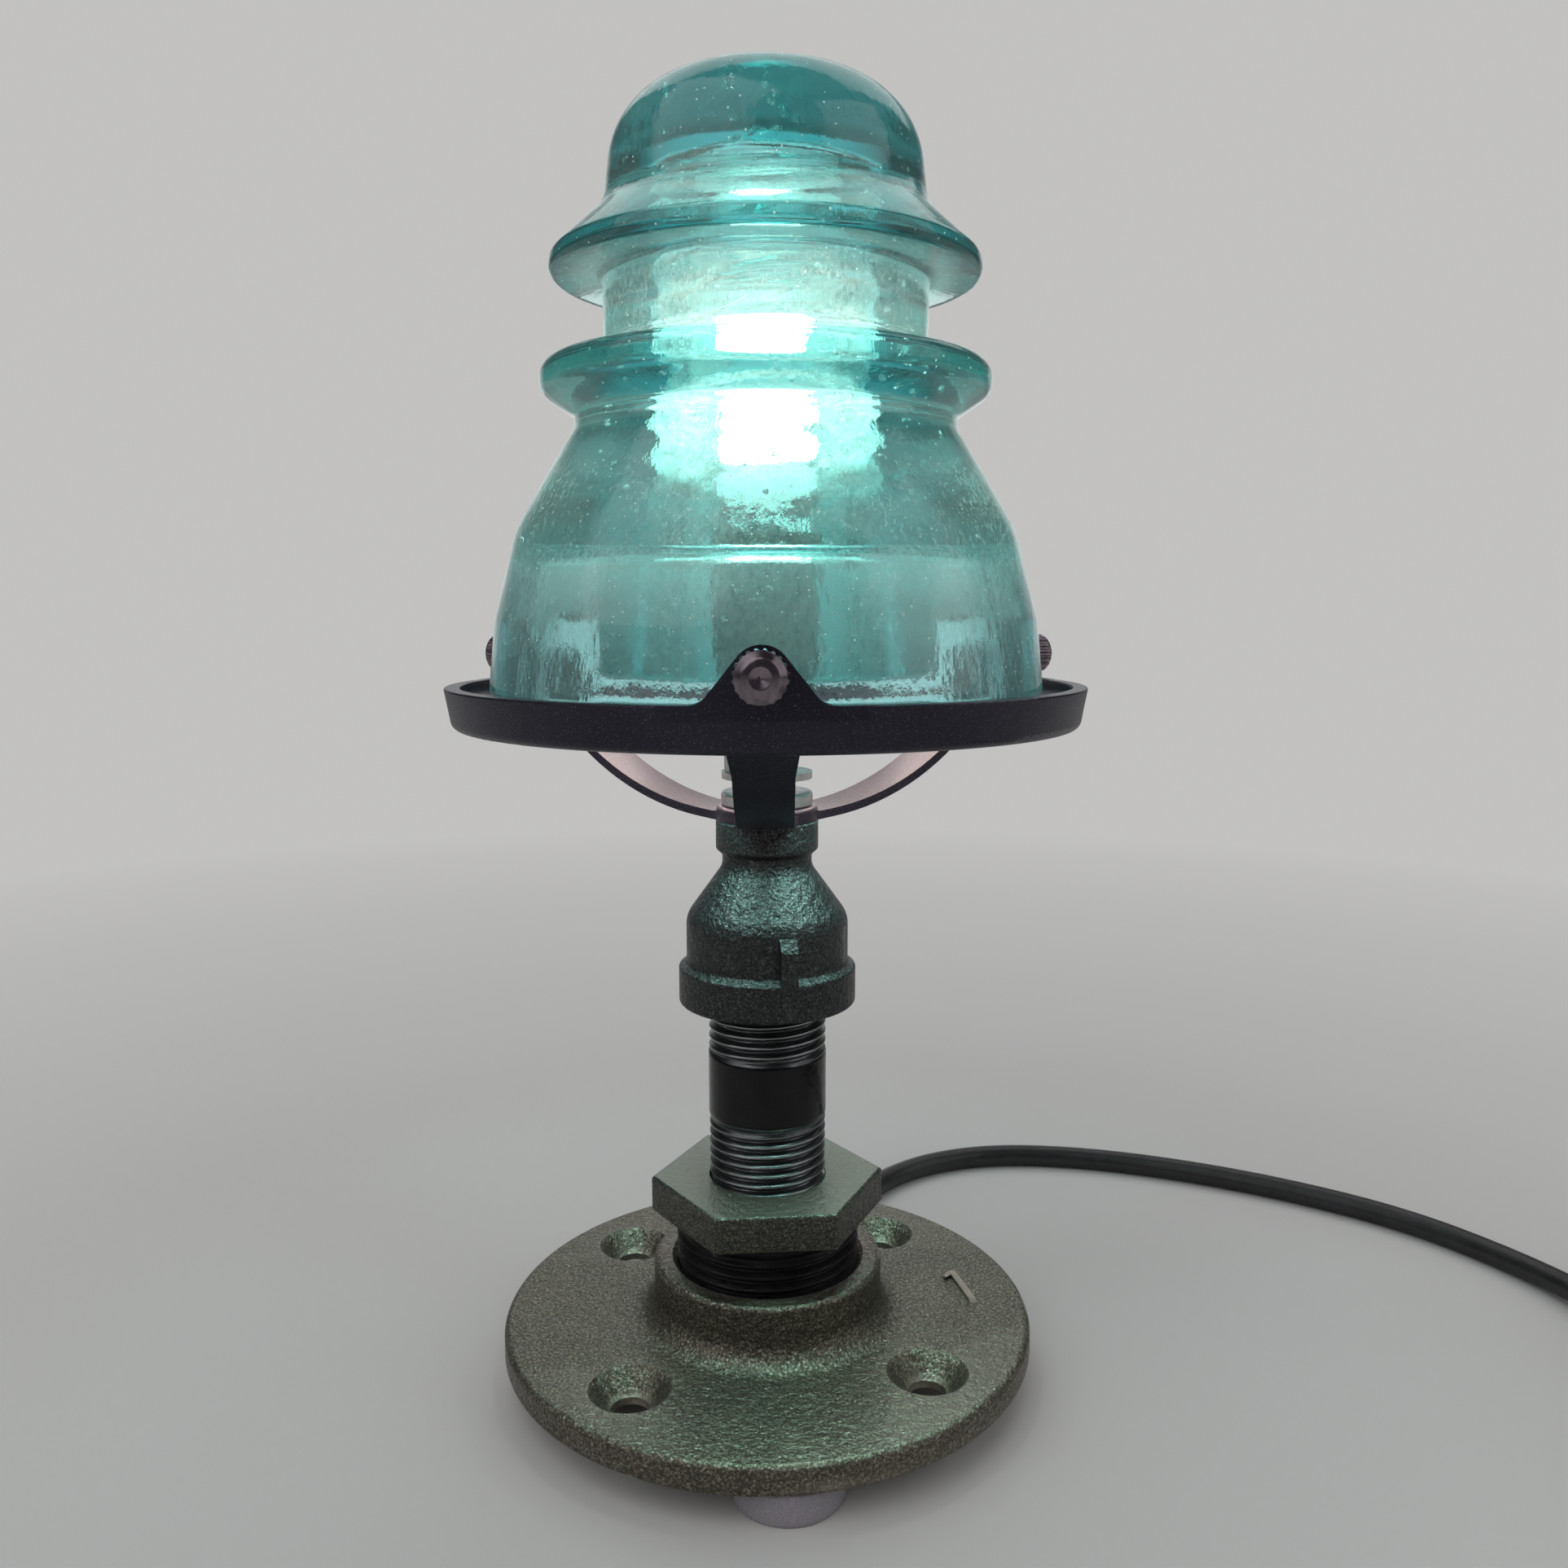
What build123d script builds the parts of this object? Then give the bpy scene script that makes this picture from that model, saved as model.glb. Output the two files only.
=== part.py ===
from build123d import *
import math
import os

# Table lamp: a glass line insulator as the shade, on a stem of pipe fittings.
# Millimetres, +Z up, -Y is the front. The origin is on the table, under the middle of the flange.

# Fits
fit = 0.05  # running and threaded fits, on each side
seat = 0.2  # between a part that lifts off and its seat
snug = 0.3  # round soft things

# Felt feet and floor flange
foot_d = 18.5
foot_h = 5.5
foot_circle_d = 77.0
flange_turn = 5.5  # how far the flange stands turned from square
flange_d = 96.3
flange_t = 5.0
flange_rise = 15.3  # underside to the top of the collar
collar_d = 41.8
collar_fillet = 4.4
hole_circle_d = 71.0
hole_d = 6.5
sink_d = 14.0
sink_depth = 3.7

# Hex bushing, one inch pipe outside, half inch pipe inside
pipe_1_d = 33.4
pipe_half_d = 21.3
hex_flats = 36.9
hex_h = 6.7
hex_turn = 5.15
bushing_show = 8.6  # thread left between the collar and the hexagon
bushing_below = 9.4  # thread screwed into the flange
bushing_bore_d = 18.0
pipe_half_depth = 12.0

# Pipe nipple
nipple_l = 50.8
nipple_bore_d = 15.8
nipple_in = 9.0  # length screwed in at each end
thread_depth = 0.35
nipple_bare_l = 11.3  # black length between the threads
nipple_bare_up = 12.3  # from the bushing to the black length

# Bell reducer, half inch pipe to lamp tube
bell_h = 33.0
band_d = 31.7
band_h = 6.6
bell_d = 28.9
bell_straight = 12.4
neck_d = 15.9
neck_up = 26.0
bell_collar_d = 18.2
bell_collar_h = 6.2
bell_rib_w = 3.0
bell_rib_h = 17.0
bell_rib_turn = 285.0
bell_hollow = 14.0

# Lamp tube and its nut
tube_d = 10.2
tube_bore_d = 7.6
tube_in = 9.5
tube_above = 8.2  # above the fitter's hub
nut_d = 16.2
nut_h = 2.5

# Shade fitter: ring, ears, arms and hub in one casting
hub_t = 2.6
hub_d = 18.0
ring_gap = 4.6  # between the glass and the rim
ring_h = 6.9
ring_taper = 1.2
rim_t = 2.7
shelf_t = 2.6
shelf_w = 4.1  # shelf under the glass's edge
ring_up = 24.0  # hub underside to ring top
arm_t = 1.5
arm_w = 9.4
arm_slope = 3.0  # at the hub
arm_fillet = 8.0  # between the arms and the hub
arm_flare = 1.1  # wider by this on each side at the ring
ear_r = 4.1
ear_foot_w = 17.2
ear_fillet = 3.6
screw_up = 4.2  # screw axis above the ring's top
ear_turns = {"front": 270.0, "left": 150.0, "right": 30.0}

# Thumb screws
screw_d = 4.0
screw_gap = 0.2  # between a screw's tip and the widest part of the glass
head_d = 7.5
head_l = 5.2
head_dome = 1.3
dimple_d = 3.0
dimple_depth = 0.5
head_neck_d = 5.4
head_neck_l = 2.6
flutes = 20
flute_r = 0.42

# Glass insulator, heights above its base
glass_h = 99.6
glass_base_d = 95.2
glass_inset = 1.6  # how far the base sits below the ring's top
skirt_draft = 1.3  # narrower by this on each side, part of the way up the skirt
skirt_draft_up = 12.6
skirt_top_d = 84.6
skirt_top_up = 27.8
waist_d = 64.5
waist_up = 45.6
lower_lip_d = 76.0
lower_lip_up = 50.3
lower_lip_h = 4.2
groove_d = 54.6
groove_up = 57.2
upper_lip_d = 72.6
upper_lip_up = 68.7
upper_lip_h = 3.0
crown_d = 54.2
crown_up = 79.8
crown_top_d = 49.4
crown_fillet = 14.0
skirt_wall = 6.0
hollow_up = 23.0
petticoat_d = 60.0
petticoat_up = 3.4
pin_mouth_d = 32.0
pin_hole_d = 27.0
pin_top_d = 25.0
pin_straight_up = 27.0
pin_hole_up = 86.0

# Lamp holder and its bracket
bracket_gap = 4.8  # hub top to the bracket's foot
bracket_foot_d = 16.0
bracket_t = 1.2
bracket_leg_w = 6.0
bracket_leg_x = 6.8
bracket_h = 15.3
bracket_tab_d = 14.8
bracket_screw_d = 2.6
holder_d = 18.5
holder_h = 23.6
holder_bore_d = 13.2
holder_floor = 7.0
shell_t = 0.4
shell_l = 15.0
contact_d = 5.0
contact_up = 8.8
terminal_up = 4.6
terminal_head_d = 5.0
terminal_head_h = 1.4
terminal_d = 2.4
terminal_l = 3.0

# Bulb
cap_d = 11.7
cap_l = 13.0
tip_d = 4.6
tip_h = 1.6
bulb_gap = 0.4  # collar above the holder's rim
bulb_collar_h = 5.6
bulb_d = 16.4
bulb_cover_h = 30.0

# Cord, switch and plug
cord_d = 5.0
riser_below = 6.0
grommet_h = 6.0
grommet_in = 3.5  # grommet's underside above the bushing's underside
lead_d = 1.8
lead_pitch = 2.5
coil_gap = 0.7
coil_inner_r = 20.0
coil_half_turns = (7, 6)  # inward along the bottom, outward along the top
coil_x, coil_y = 203.9, -17.0
bend_run = 18.0  # between one bend of the loose cord and the next
tie_t = 1.0
tie_w = 12.0
tie_turn = 20.0
switch_l, switch_w, switch_h = 56.0, 22.0, 14.0
switch_axis = 6.0  # height of the cord in the switch
rocker_l, rocker_w = 17.6, 8.4
rocker_tilt = 8.0
rocker_pin_d = 3.0
rocker_up = 10.4
plug_axis = 6.8
plug_w, plug_h, plug_l = 24.0, 13.0, 27.0
relief_l, relief_d = 22.0, 6.6
blade_w, blade_t, blade_l, blade_pitch = 6.3, 1.5, 17.0, 12.7
blade_in = 5.0

# Ring that follows from the glass
ring_d = glass_base_d + 2 * (ring_gap + rim_t)
shelf_bore_d = glass_base_d - 2 * shelf_w

# Heights that follow
cord_r = cord_d / 2
flange_top = foot_h + flange_t
collar_top = foot_h + flange_rise
bushing_bottom = collar_top - bushing_below
hex_bottom = collar_top + bushing_show
hex_top = hex_bottom + hex_h
nipple_bottom = hex_top - nipple_in
nipple_top = nipple_bottom + nipple_l
bell_bottom = nipple_top - nipple_in
bell_top = bell_bottom + bell_h
hub_top = bell_top + hub_t
ring_top = bell_top + ring_up
screw_z = ring_top + screw_up
shelf_top = ring_top - glass_inset - seat
glass_z = shelf_top + seat
tube_top = hub_top + tube_above
bracket_z = hub_top + bracket_gap
holder_z = bracket_z + bracket_h
holder_top = holder_z + holder_h
collar_z = holder_top + bulb_gap
cap_z = collar_z - cap_l
cover_z = collar_z + bulb_collar_h
exit_z = bushing_bottom + grommet_in

# Places along the loose cord that follow
coil_pitch = cord_d + coil_gap
coil_outer_r = coil_inner_r + coil_half_turns[0] * coil_pitch / 2
tail_x = coil_x - coil_inner_r - coil_half_turns[1] * coil_pitch / 2
tail_y = coil_y - cord_d - 2 * bend_run
bend_in = bend_run * math.sin(math.radians(30))
bend_out = bend_run * math.cos(math.radians(30))
switch_x = tail_x + bend_in + bend_out + bend_run
switch_y = tail_y - bend_out - bend_in
switch_end = switch_x + switch_l
plug_x = switch_end + bend_run + bend_out + bend_in
plug_y = switch_y + bend_in + bend_out + bend_run


def turned(*corners):
    """Solid turned about Z from (radius, height, fillet) corners."""
    outline = FilletPolyline([c[:2] for c in corners], radius=[c[2] for c in corners], close=True)
    return revolve(Plane.XZ * make_face(outline), Axis.Z)


def tube(outer_d, inner_d, low, high):
    return Pos(0, 0, low) * extrude(Circle(outer_d / 2) - Circle(inner_d / 2), high - low)


def rod(diameter, low, high):
    return Pos(0, 0, low) * extrude(Circle(diameter / 2), high - low)


def round_about(count, start, radius, shape):
    """Copies of a shape at equal turns on a circle about Z."""
    turns = [start + 360 * i / count for i in range(count)]
    return [Rot(0, 0, turn) * Pos(radius, 0, 0) * shape for turn in turns]


# Stand

def felt_feet():
    return Compound(round_about(4, flange_turn, foot_circle_d / 2, rod(foot_d, 0, foot_h)))


def floor_flange():
    bore_r = pipe_1_d / 2 + fit
    body = turned(
        (bore_r, foot_h, 0),
        (flange_d / 2, foot_h, 0.8),
        (flange_d / 2, flange_top, 1.2),
        (collar_d / 2, flange_top, collar_fillet),
        (collar_d / 2, collar_top, 1.0),
        (bore_r + 0.9, collar_top, 0),
        (bore_r, collar_top - 0.9, 0),
    )
    sink = Pos(0, 0, flange_top - sink_depth / 2) * Cone(hole_d / 2, sink_d / 2, sink_depth)
    hole = rod(hole_d, foot_h - 1, flange_top) + sink
    return body - round_about(4, 45 + flange_turn, hole_circle_d / 2, hole)


def hex_bushing():
    hexagon = RegularPolygon(hex_flats / 2, 6, major_radius=False, rotation=hex_turn)
    head = Pos(0, 0, hex_bottom) * extrude(hexagon, hex_h)
    head = fillet(head.edges(), 0.7)
    neck = rod(pipe_1_d - 1.6, hex_bottom - 1.8, hex_bottom + 1)
    thread = turned(
        (0, bushing_bottom, 0),
        (pipe_1_d / 2 - 0.8, bushing_bottom, 0),
        (pipe_1_d / 2, bushing_bottom + 1.2, 0),
        (pipe_1_d / 2, hex_bottom - 2.4, 0),
        (pipe_1_d / 2 - 0.8, hex_bottom - 1.6, 0),
        (0, hex_bottom - 1.6, 0),
    )
    bore = rod(bushing_bore_d, bushing_bottom - 1, hex_top)
    socket = rod(pipe_half_d + 2 * fit, hex_top - pipe_half_depth, hex_top + 1)
    return head + neck + thread - bore - socket


def pipe_nipple():
    crest = pipe_half_d / 2 - 0.08
    root = crest - thread_depth
    bare = hex_top + nipple_bare_up
    body = turned(
        (nipple_bore_d / 2, nipple_bottom, 0),
        (root, nipple_bottom, 0),
        (crest, nipple_bottom + 1, 0),
        (crest, bare, 0),
        (pipe_half_d / 2, bare + 0.2, 0),
        (pipe_half_d / 2, bare + nipple_bare_l - 0.2, 0),
        (crest, bare + nipple_bare_l, 0),
        (crest, nipple_top - 1, 0),
        (root, nipple_top, 0),
        (nipple_bore_d / 2, nipple_top, 0),
    )
    return body


def bell_reducer():
    pipe_r = pipe_half_d / 2 + fit
    tube_r = tube_d / 2 + fit
    band_top = bell_bottom + band_h
    shell = turned(
        (pipe_r, bell_bottom, 0),
        (band_d / 2, bell_bottom, 0.7),
        (band_d / 2, band_top, 0.5),
        (bell_d / 2, band_top + 0.9, 0.6),
        (bell_d / 2, bell_bottom + bell_straight + 3.4, 5.0),
        (neck_d / 2, bell_bottom + neck_up - 1.2, 3.0),
        (neck_d / 2, bell_top - bell_collar_h, 0.9),
        (bell_collar_d / 2, bell_top - bell_collar_h + 1.1, 0.6),
        (bell_collar_d / 2, bell_top, 0.4),
        (tube_r, bell_top, 0),
        (tube_r, bell_bottom + neck_up - 1.5, 0),
        (pipe_r, bell_bottom + bell_hollow, 0),
    )
    side = [
        (pipe_r + 1, bell_bottom + 1.0),
        (band_d / 2, bell_bottom + 1.0),
        (band_d / 2, bell_bottom + bell_straight),
        (bell_d / 2 - 1.6, bell_bottom + bell_rib_h),
        (pipe_r + 1, bell_bottom + bell_rib_h - 2.5),
    ]
    rib = extrude(Plane.XZ * make_face(Polyline(side, close=True)), bell_rib_w / 2, both=True)
    return shell + round_about(2, bell_rib_turn, 0, rib)


def lamp_tube():
    return tube(tube_d, tube_bore_d, bell_top - tube_in, tube_top)


def lock_nut():
    return turned(
        (tube_d / 2 + fit, hub_top, 0),
        (nut_d / 2, hub_top, 0.4),
        (nut_d / 2, hub_top + nut_h, 0.6),
        (tube_d / 2 + fit, hub_top + nut_h, 0),
    )


# Shade fitter

def fitter_arm():
    """One arm along +X, curving up from the hub to the ring's shelf."""
    slope = math.radians(arm_slope)
    start = Vector(hub_d / 2 - 0.6, bell_top)
    end = Vector(shelf_bore_d / 2 + 1.5, ring_top - ring_h + shelf_t * 0.8)
    rise = 2 * math.atan2(end.Y - start.Y, end.X - start.X) - slope
    up_start = start + Vector(-math.sin(slope), math.cos(slope)) * arm_t
    up_end = end + Vector(-math.sin(rise), math.cos(rise)) * arm_t
    lower = TangentArc(start, end, tangent=(math.cos(slope), math.sin(slope)))
    upper = TangentArc(up_start, up_end, tangent=(math.cos(slope), math.sin(slope)))
    ends = [Line(end, up_end), Line(start, (0, bell_top)), Line((0, bell_top), (0, hub_top))]
    ends.append(Line((0, hub_top), up_start))
    side = extrude(Plane.XZ * make_face(Curve() + lower + upper + ends), ring_d, both=True)
    edge = [
        (0, arm_w / 2),
        (shelf_bore_d / 2 - 5, arm_w / 2),
        (shelf_bore_d / 2 + 2, arm_w / 2 + arm_flare),
    ]
    strip = FilletPolyline(
        edge + [(x, -y) for x, y in reversed(edge)],
        radius=[0, 12, 0, 0, 12, 0],
        close=True,
    )
    plan = make_face(strip) + Circle(hub_d / 2 - 0.4)
    corners = [v for v in plan.vertices() if 0.1 < v.X < hub_d / 2 and abs(abs(v.Y) - arm_w / 2) < 0.01]
    wide = ring_d / 2 * math.tan(math.radians(55))
    third = make_face(Polyline((0, 0), (ring_d / 2, -wide), (ring_d / 2, wide), close=True))
    plan = fillet(corners, arm_fillet) & third
    return side & Pos(0, 0, bell_top - 1) * extrude(plan, ring_up)


def fitter_ear():
    """One ear along +X: a round top on a flared foot, bent to the ring."""
    foot = Pos(0, ring_top - 1) * Rectangle(ear_foot_w, 2)
    crest = Pos(0, screw_z) * Circle(ear_r)
    ear = make_hull((foot + crest).edges()) + Pos(0, ring_top - 1) * Rectangle(ear_foot_w + 12, 2)
    corners = [
        v for v in ear.vertices()
        if abs(v.Y - ring_top) < 0.01 and abs(v.X) < ear_foot_w / 2 + 1
    ]
    ear = fillet(corners, ear_fillet)
    slab = extrude(Plane.YZ * ear, ring_d)
    return slab & tube(ring_d, ring_d - 2 * rim_t, ring_top - 2, screw_z + ear_r + 1)


def shade_fitter():
    rim_r = ring_d / 2
    ring_bottom = ring_top - ring_h
    ring = turned(
        (shelf_bore_d / 2, shelf_top - shelf_t, 0.4),
        (rim_r - rim_t - 1.5, shelf_top - shelf_t, 0),
        (rim_r - rim_t - 0.6, ring_bottom, 0),
        (rim_r - ring_taper, ring_bottom, 1.6),
        (rim_r, ring_top, 0.3),
        (rim_r - rim_t, ring_top, 0.3),
        (rim_r - rim_t, shelf_top, 0.5),
        (shelf_bore_d / 2, shelf_top, 0.4),
    )
    hub = turned(
        (0, bell_top, 0),
        (hub_d / 2, bell_top, 0),
        (hub_d / 2, hub_top, 0.8),
        (0, hub_top, 0),
    )
    body = ring + hub
    for turn in ear_turns.values():
        body += Rot(0, 0, turn) * fitter_arm()
        body += Rot(0, 0, turn) * fitter_ear()
    for turn in ear_turns.values():
        hole = Plane.YZ.offset(shelf_bore_d / 2) * Pos(0, screw_z) * Circle(screw_d / 2 + fit)
        body -= Rot(0, 0, turn) * extrude(hole, ring_d / 2)
    return body - rod(tube_d + 2 * fit, bell_top - 1, hub_top + 1)


def thumb_screw(turn):
    """Knurled screw along +X, its tip just clear of the glass, turned to its ear."""
    tip = glass_base_d / 2 + screw_gap
    neck = ring_d / 2 + 0.3
    head = neck + head_neck_l
    face = head + head_l
    outline = FilletPolyline(
        (0, tip), (screw_d / 2 - 0.4, tip), (screw_d / 2, tip + 0.5), (screw_d / 2, neck),
        (head_neck_d / 2, neck), (head_neck_d / 2, head), (head_d / 2, head),
        (head_d / 2, face - head_dome), (head_d / 2 - 1.2, face - 0.2), (dimple_d / 2, face),
        (0, face - dimple_depth),
        radius=[0, 0, 0, 0, 0.3, 0, 0.5, 0.9, 1.0, 0.5, 0],
        close=True,
    )
    screw = revolve(Plane.XZ * make_face(outline), Axis.Z)
    groove = rod(2 * flute_r, head - 1, face - head_dome + 0.2)
    screw -= round_about(flutes, 0, head_d / 2 + 0.1, groove)
    return Rot(0, 0, turn) * Pos(0, 0, screw_z) * Rot(0, 90, 0) * screw


# Glass shade

def glass_insulator():
    base = glass_z
    skirt_r = glass_base_d / 2 - skirt_wall
    petticoat_r = petticoat_d / 2
    hollow_r = skirt_r - 3.2
    return turned(
        (glass_base_d / 2, base, 1.4),
        (glass_base_d / 2 - skirt_draft, base + skirt_draft_up, 0),
        (skirt_top_d / 2, base + skirt_top_up, 18),
        (waist_d / 2, base + waist_up - 1.0, 4),
        (waist_d / 2 + 0.1, base + waist_up + 0.9, 1.2),
        (lower_lip_d / 2, base + lower_lip_up, 2.6),
        (lower_lip_d / 2, base + lower_lip_up + lower_lip_h, 2.4),
        (groove_d / 2, base + groove_up, 2.0),
        (groove_d / 2, base + upper_lip_up + 0.5, 1.2),
        (upper_lip_d / 2, base + upper_lip_up, 1.3),
        (upper_lip_d / 2 - 0.4, base + upper_lip_up + upper_lip_h, 1.6),
        (crown_d / 2, base + crown_up, 8.0),
        (crown_top_d / 2, base + glass_h, crown_fillet),
        (0, base + glass_h, 0),
        (0, base + pin_hole_up, 0),
        (pin_top_d / 2, base + pin_hole_up, 5.0),
        (pin_hole_d / 2, base + pin_straight_up, 0),
        (pin_mouth_d / 2, base + petticoat_up, 1.2),
        (petticoat_r - 0.6, base + petticoat_up, 1.6),
        (petticoat_r, base + hollow_up, 3.0),
        (hollow_r, base + hollow_up, 3.0),
        (skirt_r, base, 1.4),
    )


# Lamp holder

def socket_bracket():
    """Steel strip: a tapped foot, one leg on the left and a tab under the holder."""
    foot = tube(bracket_foot_d, tube_d + 2 * fit, bracket_z, bracket_z + bracket_t)
    tab = rod(bracket_tab_d, holder_z - bracket_t, holder_z)
    middle = (bracket_z + holder_z) / 2
    leg = Pos(-bracket_leg_x, 0, middle) * Box(bracket_t, bracket_leg_w, bracket_h)
    return foot + leg + tab - rod(bracket_screw_d + 2 * fit, bracket_z + 3, holder_z + 1)


def bracket_screw():
    head = turned(
        (0, holder_z - bracket_t - 1.6, 0),
        (2.5, holder_z - bracket_t - 1.6, 0.6),
        (2.5, holder_z - bracket_t, 0),
        (0, holder_z - bracket_t, 0),
    )
    return head + rod(bracket_screw_d, holder_z - bracket_t, holder_z + 5)


def terminal_places():
    """Where the two terminal screws lie on the holder, front and back."""
    return [Pos(0, side * holder_d / 2, holder_z + terminal_up) * Rot(90 * -side, 0, 0) for side in (-1, 1)]


def socket_body():
    body = turned(
        (0, holder_z, 0),
        (holder_d / 2, holder_z, 0.8),
        (holder_d / 2, holder_top, 0.8),
        (holder_bore_d / 2, holder_top, 0.3),
        (holder_bore_d / 2, holder_z + holder_floor, 0),
        (0, holder_z + holder_floor, 0),
    )
    body -= rod(bracket_screw_d + 2 * fit, holder_z - 1, holder_z + 5.5)
    for place in terminal_places():
        body -= place * rod(terminal_d + 2 * fit, -terminal_l - 0.5, 1)
    return body


def terminal_screws():
    head = turned(
        (0, 0, 0),
        (terminal_head_d / 2, 0, 0),
        (terminal_head_d / 2, terminal_head_h, 0.4),
        (0, terminal_head_h, 0),
    )
    slot = Pos(0, 0, terminal_head_h) * Box(terminal_head_d, 0.8, 1.2)
    screw = head - slot + rod(terminal_d, -terminal_l, 0)
    return Compound([place * screw for place in terminal_places()])


def screw_shell():
    inner = cap_d + 2 * fit
    high = holder_top - 0.8
    return tube(inner + 2 * shell_t, inner, high - shell_l, high)


def centre_contact():
    top = cap_z - tip_h - fit
    post = rod(contact_d * 0.6, holder_z + holder_floor, top - 0.5)
    return post + rod(contact_d, top - 0.6, top)


# Bulb

def bulb_cap():
    return turned(
        (0, cap_z, 0),
        (cap_d / 2 - 2.2, cap_z, 0),
        (cap_d / 2, cap_z + 2.2, 0.5),
        (cap_d / 2, collar_z, 0),
        (0, collar_z, 0),
    )


def bulb_tip():
    return turned(
        (0, cap_z - tip_h, 0),
        (tip_d / 2, cap_z - tip_h, 0.9),
        (tip_d / 2, cap_z, 0),
        (0, cap_z, 0),
    )


def bulb_collar():
    return turned(
        (0, collar_z, 0),
        (cap_d / 2 + 0.9, collar_z, 0.4),
        (bulb_d / 2, collar_z + 2.2, 1.0),
        (bulb_d / 2, cover_z, 0.2),
        (0, cover_z, 0),
    )


def bulb_cover():
    return turned(
        (0, cover_z, 0),
        (bulb_d / 2 - 0.3, cover_z, 0),
        (bulb_d / 2 - 0.3, cover_z + bulb_cover_h, bulb_d / 2 - 1.6),
        (0, cover_z + bulb_cover_h, 0),
    )


# Wiring inside the stem

def cord_grommet():
    return turned(
        (cord_r + fit, exit_z, 0.3),
        (bushing_bore_d / 2 - fit, exit_z, 0),
        (bushing_bore_d / 2 - fit, exit_z + grommet_h, 0.6),
        (cord_r + fit, exit_z + grommet_h, 0),
    )


def cord_riser():
    return rod(cord_d, exit_z, tube_top)


def socket_leads():
    """Two insulated leads from the riser's top out to the terminals."""
    reach = holder_d / 2 + lead_d / 2 + 0.2
    leads = []
    for side in (-1, 1):
        path = FilletPolyline(
            (0, side * lead_pitch / 2, tube_top),
            (0, side * lead_pitch / 2, tube_top + 4),
            (0, side * reach, holder_z - 3),
            (0, side * reach, holder_z + terminal_up - terminal_head_d / 2),
            radius=[2.2, 2.2],
        )
        section = Plane(origin=path @ 0, z_dir=path % 0) * Circle(lead_d / 2)
        leads.append(sweep(section, path))
    return Compound(leads)


# Cord

def corner_radii(points):
    """For each corner, 0.45 of its shorter run over the tangent of half its turn."""
    radii = []
    for before, here, after in zip(points, points[1:], points[2:]):
        into, out = here - before, after - here
        half = math.radians(into.get_angle(out)) / 2
        radii.append(0.45 * min(into.length, out.length) / math.tan(half))
    return radii


def cord_length(name, places):
    """A tube through chosen places: straight runs joined by tangent arcs."""
    points = [Vector(*p) for p in places]
    radii = corner_radii(points)
    path = FilletPolyline(points, radius=radii)
    section = Plane(origin=path @ 0, z_dir=path % 0) * Circle(cord_r)
    solid = sweep(section, path)
    report(name, solid, path.length)
    print(f"  radii {[round(r, 1) for r in radii]}")
    return solid


def report(name, solid, length):
    section = math.pi * cord_r**2
    print(f"{name}: length {length:.1f}, volume over section times length {solid.volume / section / length:.4f}")


def coil_place(t):
    """Centre of the coiled cord after t half turns, as a place and a heading."""
    pitch = coil_pitch
    inward = coil_half_turns[0]
    low = tie_t + snug + cord_r
    if t <= inward:
        radius, slope, height, climb = coil_outer_r - t * pitch / 2, -pitch / 2, low, 0
    elif t >= inward + 1:
        past = t - inward - 1
        radius, slope, height, climb = coil_inner_r + past * pitch / 2, pitch / 2, low + pitch, 0
    else:
        u = t - inward
        radius = coil_inner_r + pitch / 2 * (u * u - u)
        slope = pitch / 2 * (2 * u - 1)
        height = low + pitch * u * u * (3 - 2 * u)
        climb = pitch * 6 * u * (1 - u)
    angle = math.pi * (1 + t)
    out = Vector(math.cos(angle), math.sin(angle))
    along = Vector(-math.sin(angle), math.cos(angle))
    place = Vector(coil_x, coil_y, height) + out * radius
    heading = out * slope + along * (math.pi * radius) + Vector(0, 0, climb)
    return place, heading.normalized()


def biarc(start, start_way, end, end_way):
    """Two arcs that leave and arrive along the given headings."""
    gap = end - start
    ways = start_way + end_way
    a = 2 * (1 - start_way.dot(end_way))
    b = 2 * gap.dot(ways)
    c = -gap.dot(gap)
    if abs(a) < 1e-9:
        reach = -c / b
    else:
        reach = (-b + math.sqrt(b * b - 4 * a * c)) / (2 * a)
    joint = ((start + start_way * reach) + (end - end_way * reach)) * 0.5
    first = Edge.make_tangent_arc(start, start_way, joint)
    second = Edge.make_tangent_arc(joint, first % 1, end)
    return [first, second]


def coil_steps():
    """Half turns along each layer, quarter turns where the cord climbs."""
    inward, outward = coil_half_turns
    return list(range(inward)) + [inward, inward + 0.5] + list(range(inward + 1, inward + outward + 2))


def cord_coil():
    steps = coil_steps()
    places = [coil_place(t) for t in steps]
    edges = [Edge.make_line(places[0][0] - places[0][1] * cord_d, places[0][0])]
    for (start, start_way), (end, end_way) in zip(places, places[1:]):
        edges += biarc(start, start_way, end, end_way)
    edges.append(Edge.make_line(places[-1][0], places[-1][0] + places[-1][1] * cord_d))
    path = Wire(edges)
    section = Plane(origin=path @ 0, z_dir=path % 0) * Circle(cord_r)
    solid = sweep(section, path)
    report("cord_coil", solid, path.length)
    count = 900
    line = [path @ (i / count) for i in range(count + 1)]
    apart = int(count * 2 * cord_d / path.length) + 1
    least = min(
        (line[i] - line[j]).length
        for i in range(count + 1)
        for j in range(i + apart, count + 1)
        if abs(line[i].X - line[j].X) < 2 * cord_d and abs(line[i].Y - line[j].Y) < 2 * cord_d
    )
    print(f"  least gap between turns {least - cord_d:.2f}")
    return solid


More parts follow.
